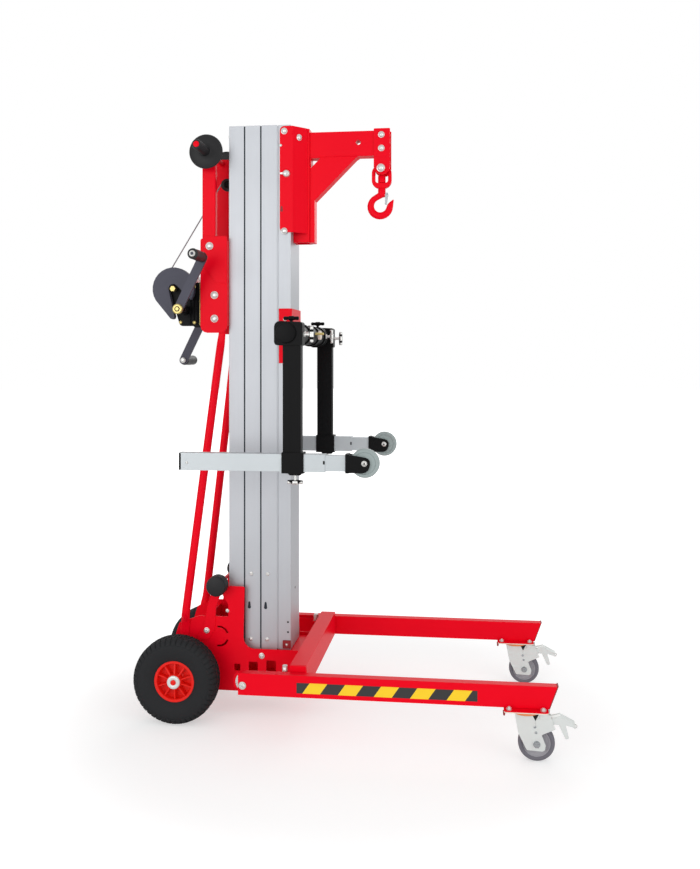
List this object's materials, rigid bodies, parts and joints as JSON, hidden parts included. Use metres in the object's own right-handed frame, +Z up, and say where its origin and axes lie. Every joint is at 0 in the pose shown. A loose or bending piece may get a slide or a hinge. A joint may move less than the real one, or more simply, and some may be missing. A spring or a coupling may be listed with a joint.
{
  "type": "manual material lift",
  "caption": "Hand-winched material lift with a telescopic aluminium mast, a jib with a swivel hook and a pair of sliding roller arms on a wheeled, folding base.",
  "frame": {"origin": "centre of the bounding box at floor level", "axes": "+Z up the mast, +X towards the tips of the legs, -Y the side that faces the viewer in the picture"},
  "size_m": [1.296, 0.704, 1.824],
  "materials": {
    "red_paint": "glossy powder coat",
    "aluminium": "anodised extrusion",
    "black_paint": "satin powder coat",
    "slate_paint": "satin paint",
    "zinc": "bright zinc plate",
    "yellow_zinc": "yellow chromate on steel",
    "cable_steel": "galvanised wire rope",
    "black_rubber": "moulded rubber",
    "rim_plastic": "moulded red plastic",
    "grey_rubber": "grey caster tread",
    "pale_rubber": "cast polyurethane",
    "black_plastic": "grained plastic"
  },
  "bodies": {
    "base": {"chassis": "red_paint", "rear_axle": "zinc", "cross_beam": "red_paint", "leg_pivot_near": "zinc", "leg_pivot_far": "zinc", "mast_section_1": "aluminium", "winch_bracket": "red_paint", "handle_frame": "red_paint", "handle_grip_near": "black_rubber", "handle_grip_far": "black_rubber", "stay_near": "red_paint", "stay_far": "red_paint", "winch_frame": "slate_paint", "winch_cover": "slate_paint", "drum_bolt": "yellow_zinc", "pulley_bracket": "black_paint", "lift_cable": "cable_steel"},
    "stage_2": {"mast_section_2": "aluminium"},
    "stage_3": {"mast_section_3": "aluminium"},
    "carriage": {"carriage_profile": "aluminium", "jib_bracket": "red_paint", "jib_boom": "red_paint", "roller_clip": "red_paint", "cross_bar": "black_paint", "post_near": "black_paint", "post_far": "black_paint"},
    "bail": {"hook_bail": "red_paint"},
    "swivel_hook": {"hook": "red_paint"},
    "latch": {"hook_latch": "zinc"},
    "wheel_near": {"tyre_near": "black_rubber", "rim_near": "rim_plastic"},
    "wheel_far": {"tyre_far": "black_rubber", "rim_far": "rim_plastic"},
    "load_roller_near": {"loading_roller_near": "black_rubber"},
    "load_roller_far": {"loading_roller_far": "black_rubber"},
    "folding_leg_near": {"leg_near": "red_paint", "caster_plate_near": "zinc"},
    "folding_leg_far": {"leg_far": "red_paint", "caster_plate_far": "zinc"},
    "pin_near": {"lock_pin_near": "zinc"},
    "pin_far": {"lock_pin_far": "zinc"},
    "swivel_near": {"caster_fork_near": "zinc"},
    "swivel_far": {"caster_fork_far": "zinc"},
    "caster_near": {"caster_wheel_near": "grey_rubber"},
    "caster_far": {"caster_wheel_far": "grey_rubber"},
    "brake_near": {"caster_brake_near": "zinc"},
    "brake_far": {"caster_brake_far": "zinc"},
    "drum": {"drum": "zinc", "wound_cable": "cable_steel"},
    "crank": {"crank": "slate_paint", "crank_pinion": "zinc"},
    "crank_knob_near": {"crank_grip_near": "black_plastic"},
    "crank_knob_far": {"crank_grip_far": "black_plastic"},
    "pulley": {"guide_pulley": "black_plastic"},
    "sliding_arm_near": {"arm_near": "aluminium", "roller_fork_near": "black_paint"},
    "sliding_arm_far": {"arm_far": "aluminium", "roller_fork_far": "black_paint"},
    "roller_near": {"arm_roller_near": "pale_rubber"},
    "roller_far": {"arm_roller_far": "pale_rubber"}
  },
  "joints": [
    {"name": "wheel_near_spin", "type": "hinge", "parent": "base", "child": "wheel_near", "pos_m": [-0.518, -0.175, 0.13], "axis": [0, 1, 0], "continuous": true},
    {"name": "wheel_far_spin", "type": "hinge", "parent": "base", "child": "wheel_far", "pos_m": [-0.518, 0.175, 0.13], "axis": [0, 1, 0], "continuous": true},
    {"name": "loading_roller_near_spin", "type": "hinge", "parent": "base", "child": "load_roller_near", "pos_m": [-0.406, -0.1243, 0.404], "axis": [0, 1, 0], "continuous": true},
    {"name": "loading_roller_far_spin", "type": "hinge", "parent": "base", "child": "load_roller_far", "pos_m": [-0.406, 0.1243, 0.404], "axis": [0, 1, 0], "continuous": true},
    {"name": "leg_near_fold", "type": "hinge", "parent": "base", "child": "folding_leg_near", "pos_m": [-0.278, -0.31, 0.172], "axis": [0, -1, 0], "range_deg": [0, 40]},
    {"name": "leg_far_fold", "type": "hinge", "parent": "base", "child": "folding_leg_far", "pos_m": [-0.278, 0.31, 0.172], "axis": [0, -1, 0], "range_deg": [0, 40]},
    {"name": "pin_near_pull", "type": "slide", "parent": "base", "child": "pin_near", "axis": [0, 0, 1], "range_m": [0, 0.012]},
    {"name": "pin_far_pull", "type": "slide", "parent": "base", "child": "pin_far", "axis": [0, 0, 1], "range_m": [0, 0.012]},
    {"name": "caster_near_swivel", "type": "hinge", "parent": "folding_leg_near", "child": "swivel_near", "pos_m": [0.515, -0.31, 0.137], "axis": [0, 0, 1], "continuous": true},
    {"name": "caster_far_swivel", "type": "hinge", "parent": "folding_leg_far", "child": "swivel_far", "pos_m": [0.515, 0.31, 0.137], "axis": [0, 0, 1], "continuous": true},
    {"name": "caster_near_spin", "type": "hinge", "parent": "swivel_near", "child": "caster_near", "pos_m": [0.544, -0.31, 0.05], "axis": [0, 1, 0], "continuous": true},
    {"name": "caster_far_spin", "type": "hinge", "parent": "swivel_far", "child": "caster_far", "pos_m": [0.544, 0.31, 0.05], "axis": [0, 1, 0], "continuous": true},
    {"name": "brake_near_press", "type": "hinge", "parent": "swivel_near", "child": "brake_near", "pos_m": [0.548, -0.31, 0.11], "axis": [0, 1, 0], "range_deg": [0, 6]},
    {"name": "brake_far_press", "type": "hinge", "parent": "swivel_far", "child": "brake_far", "pos_m": [0.548, 0.31, 0.11], "axis": [0, 1, 0], "range_deg": [0, 6]},
    {"name": "drum_spin", "type": "hinge", "parent": "base", "child": "drum", "pos_m": [-0.556, 0, 1.318], "axis": [0, 1, 0], "continuous": true},
    {"name": "crank_spin", "type": "hinge", "parent": "base", "child": "crank", "pos_m": [-0.52137, 0, 1.25147], "axis": [0, 1, 0], "continuous": true},
    {"name": "knob_near_spin", "type": "hinge", "parent": "crank", "child": "crank_knob_near", "pos_m": [-0.44465, -0.1543, 1.40876], "axis": [0, 1, 0], "continuous": true},
    {"name": "knob_far_spin", "type": "hinge", "parent": "crank", "child": "crank_knob_far", "pos_m": [-0.59808, 0.1543, 1.09419], "axis": [0, 1, 0], "continuous": true},
    {"name": "pulley_spin", "type": "hinge", "parent": "base", "child": "pulley", "pos_m": [-0.407, 0, 1.655], "axis": [0, 1, 0], "continuous": true},
    {"name": "stage_2_lift", "type": "slide", "parent": "base", "child": "stage_2", "axis": [0, 0, 1], "range_m": [0, 1.3]},
    {"name": "stage_3_lift", "type": "slide", "parent": "stage_2", "child": "stage_3", "axis": [0, 0, 1], "range_m": [0, 1.3]},
    {"name": "carriage_lift", "type": "slide", "parent": "stage_3", "child": "carriage", "axis": [0, 0, 1], "range_m": [0, 1.3]},
    {"name": "bail_swing", "type": "hinge", "parent": "carriage", "child": "bail", "pos_m": [0.089, 0, 1.691], "axis": [0, 1, 0], "range_deg": [-45, 45]},
    {"name": "hook_swivel", "type": "hinge", "parent": "bail", "child": "swivel_hook", "pos_m": [0.089, 0, 1.632], "axis": [0, 0, 1], "continuous": true},
    {"name": "latch_open", "type": "hinge", "parent": "swivel_hook", "child": "latch", "pos_m": [0.1047, 0, 1.614], "axis": [0, 1, 0], "range_deg": [0, 25], "stiffness_Nm_per_rad": 0.05, "springref_deg": -11.46},
    {"name": "arm_near_slide", "type": "slide", "parent": "carriage", "child": "sliding_arm_near", "axis": [1, 0, 0], "range_m": [-0.1, 0.2]},
    {"name": "arm_far_slide", "type": "slide", "parent": "carriage", "child": "sliding_arm_far", "axis": [1, 0, 0], "range_m": [-0.1, 0.2]},
    {"name": "roller_near_spin", "type": "hinge", "parent": "sliding_arm_near", "child": "roller_near", "pos_m": [0.07, -0.3, 0.806], "axis": [0, 1, 0], "continuous": true},
    {"name": "roller_far_spin", "type": "hinge", "parent": "sliding_arm_far", "child": "roller_far", "pos_m": [0.07, 0.3, 0.806], "axis": [0, 1, 0], "continuous": true}
  ],
  "couplings": [
    {"joint": "stage_3_lift", "follows": "stage_2_lift", "ratio": 1},
    {"joint": "carriage_lift", "follows": "stage_2_lift", "ratio": 1},
    {"joint": "crank_spin", "follows": "drum_spin", "ratio": -3.1667}
  ]
}
